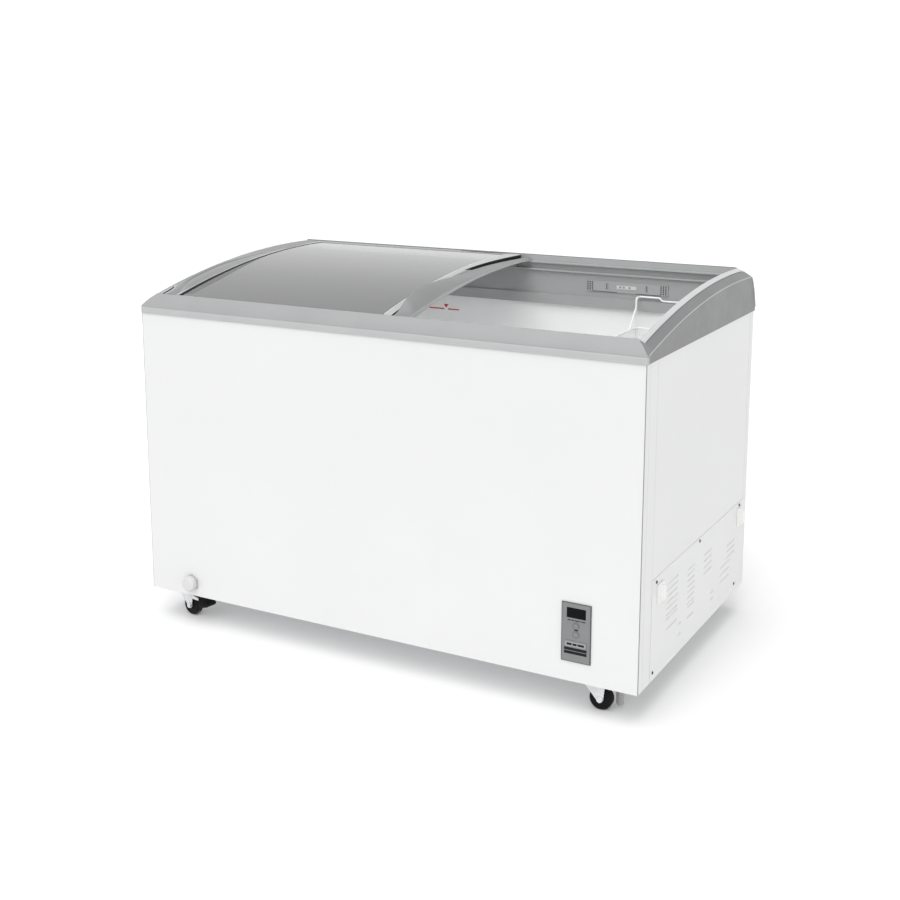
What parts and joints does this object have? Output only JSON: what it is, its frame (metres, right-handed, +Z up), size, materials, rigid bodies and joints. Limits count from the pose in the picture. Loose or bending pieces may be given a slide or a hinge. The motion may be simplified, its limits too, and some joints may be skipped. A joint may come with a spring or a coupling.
{
  "type": "chest freezer",
  "caption": "Glass-topped display chest freezer: white sheet cabinet on casters, grey moulded frame, two sliding curved glass lids, hanging wire basket.",
  "frame": {"origin": "on the floor under the middle of the cabinet", "axes": "+Z up, the control panel's front faces -Y, +X to the right along the cabinet's length"},
  "size_m": [1.2593, 0.748, 0.8525],
  "materials": {
    "white_enamel": "smooth semi-gloss white enamel",
    "liner_enamel": "smooth white enamel",
    "frame_plastic": "fine-grained mid-grey moulding",
    "dark_frame_plastic": "fine-grained grey moulding",
    "panel_plastic": "satin grey moulding",
    "black_gloss": "gloss black window",
    "clear_window": "gloss pale window",
    "lid_glass": "clear tempered glass",
    "white_plastic": "satin white moulding",
    "white_coated_wire": "white plastic-coated steel wire",
    "zinc_steel": "zinc plated",
    "wheel_nylon": "black moulded nylon",
    "foam": "rigid polyurethane foam",
    "copper": "bare copper tube",
    "board": "circuit board",
    "black_enamel": "black painted steel shell",
    "aluminium_fins": "bare aluminium",
    "black_plastic": "black moulding",
    "motor_steel": "steel can",
    "black_rubber": "moulded rubber"
  },
  "bodies": {
    "cabinet": {"front_panel": "white_enamel", "left_side_panel": "white_enamel", "right_side_panel": "white_enamel", "rear_panel": "white_enamel", "vent_cover": "white_enamel", "inner_liner": "liner_enamel", "front_rail": "frame_plastic", "rear_rail": "dark_frame_plastic", "left_end_cap": "dark_frame_plastic", "right_end_cap": "dark_frame_plastic", "thermometer_housing": "dark_frame_plastic", "control_bezel": "panel_plastic", "display_window": "black_gloss", "thermometer_window": "clear_window", "drain_spout": "white_plastic", "drain_pipe": "white_plastic", "cover_clip_front": "white_plastic", "cover_clip_rear": "white_plastic", "base_plate": "zinc_steel", "front_left_caster_plate": "zinc_steel", "front_right_caster_plate": "zinc_steel", "rear_left_caster_plate": "zinc_steel", "rear_right_caster_plate": "zinc_steel", "foam_insulation": "foam", "evaporator_tube": "copper", "discharge_tube": "copper", "control_board": "board", "compressor": "black_enamel", "condenser": "aluminium_fins", "fan_shroud": "aluminium_fins", "power_inlet": "black_plastic", "fan_motor": "motor_steel", "wall_spacer_left": "black_rubber", "wall_spacer_right": "black_rubber"},
    "left_lid": {"left_lid_glass": "lid_glass", "left_lid_outer_grip": "frame_plastic", "left_lid_inner_grip": "frame_plastic", "left_lid_front_trim": "frame_plastic", "left_lid_rear_trim": "frame_plastic"},
    "right_lid": {"right_lid_glass": "lid_glass", "right_lid_frame": "frame_plastic"},
    "basket": {"basket": "white_coated_wire"},
    "drain_cap": {"drain_cap": "white_plastic"},
    "up_button": {"up_button": "panel_plastic"},
    "down_button": {"down_button": "panel_plastic"},
    "condenser_fan": {"condenser_fan": "black_plastic"},
    "levelling_foot": {"levelling_foot": "white_plastic"},
    "front_left_caster": {"front_left_caster_fork": "zinc_steel", "front_left_caster_axle": "zinc_steel"},
    "front_left_wheel": {"front_left_caster_wheel": "wheel_nylon"},
    "front_left_brake": {"front_left_brake_pedal": "wheel_nylon"},
    "front_right_caster": {"front_right_caster_fork": "zinc_steel", "front_right_caster_axle": "zinc_steel"},
    "front_right_wheel": {"front_right_caster_wheel": "wheel_nylon"},
    "rear_left_caster": {"rear_left_caster_fork": "zinc_steel", "rear_left_caster_axle": "zinc_steel"},
    "rear_left_wheel": {"rear_left_caster_wheel": "wheel_nylon"},
    "rear_right_caster": {"rear_right_caster_fork": "zinc_steel", "rear_right_caster_axle": "zinc_steel"},
    "rear_right_wheel": {"rear_right_caster_wheel": "wheel_nylon"}
  },
  "joints": [
    {"name": "left_lid_slide", "type": "slide", "parent": "cabinet", "child": "left_lid", "axis": [1, 0, 0], "range_m": [0, 0.514]},
    {"name": "right_lid_slide", "type": "slide", "parent": "cabinet", "child": "right_lid", "axis": [1, 0, 0], "range_m": [0, 0.554]},
    {"name": "basket_slide", "type": "slide", "parent": "cabinet", "child": "basket", "axis": [1, 0, 0], "range_m": [-0.9, 0]},
    {"name": "drain_cap_turn", "type": "hinge", "parent": "cabinet", "child": "drain_cap", "pos_m": [-0.504, -0.37, 0.102], "axis": [0, -1, 0], "range_deg": [0, 540]},
    {"name": "up_button_press", "type": "slide", "parent": "cabinet", "child": "up_button", "axis": [0, 1, 0], "range_m": [0, 0.0008], "stiffness_N_per_m": 600},
    {"name": "down_button_press", "type": "slide", "parent": "cabinet", "child": "down_button", "axis": [0, 1, 0], "range_m": [0, 0.0008], "stiffness_N_per_m": 600},
    {"name": "condenser_fan_spin", "type": "hinge", "parent": "cabinet", "child": "condenser_fan", "pos_m": [0.49, -0.031, 0.182], "axis": [0, 1, 0], "continuous": true},
    {"name": "levelling_foot_screw", "type": "slide", "parent": "cabinet", "child": "levelling_foot", "axis": [0, 0, 1], "range_m": [-0.005, 0.012]},
    {"name": "front_left_caster_swivel", "type": "hinge", "parent": "cabinet", "child": "front_left_caster", "pos_m": [-0.555, -0.306, 0.06], "axis": [0, 0, 1], "continuous": true},
    {"name": "front_left_wheel_spin", "type": "hinge", "parent": "front_left_caster", "child": "front_left_wheel", "pos_m": [-0.54023, -0.30861, 0.025], "axis": [0.1736, 0.9848, 0], "continuous": true},
    {"name": "front_left_brake_press", "type": "hinge", "parent": "front_left_caster", "child": "front_left_brake", "pos_m": [-0.53333, -0.30982, 0.049], "axis": [0.1736, 0.9848, 0], "range_deg": [0, 8]},
    {"name": "front_right_caster_swivel", "type": "hinge", "parent": "cabinet", "child": "front_right_caster", "pos_m": [0.511, -0.306, 0.06], "axis": [0, 0, 1], "continuous": true},
    {"name": "front_right_wheel_spin", "type": "hinge", "parent": "front_right_caster", "child": "front_right_wheel", "pos_m": [0.52599, -0.30548, 0.025], "axis": [-0.0349, 0.9994, 0], "continuous": true},
    {"name": "rear_left_caster_swivel", "type": "hinge", "parent": "cabinet", "child": "rear_left_caster", "pos_m": [-0.555, 0.306, 0.06], "axis": [0, 0, 1], "continuous": true},
    {"name": "rear_left_wheel_spin", "type": "hinge", "parent": "rear_left_caster", "child": "rear_left_wheel", "pos_m": [-0.54033, 0.30912, 0.025], "axis": [-0.2079, 0.9781, 0], "continuous": true},
    {"name": "rear_right_caster_swivel", "type": "hinge", "parent": "cabinet", "child": "rear_right_caster", "pos_m": [0.509, 0.306, 0.06], "axis": [0, 0, 1], "continuous": true},
    {"name": "rear_right_wheel_spin", "type": "hinge", "parent": "rear_right_caster", "child": "rear_right_wheel", "pos_m": [0.52377, 0.3034, 0.025], "axis": [0.1736, 0.9848, 0], "continuous": true}
  ]
}
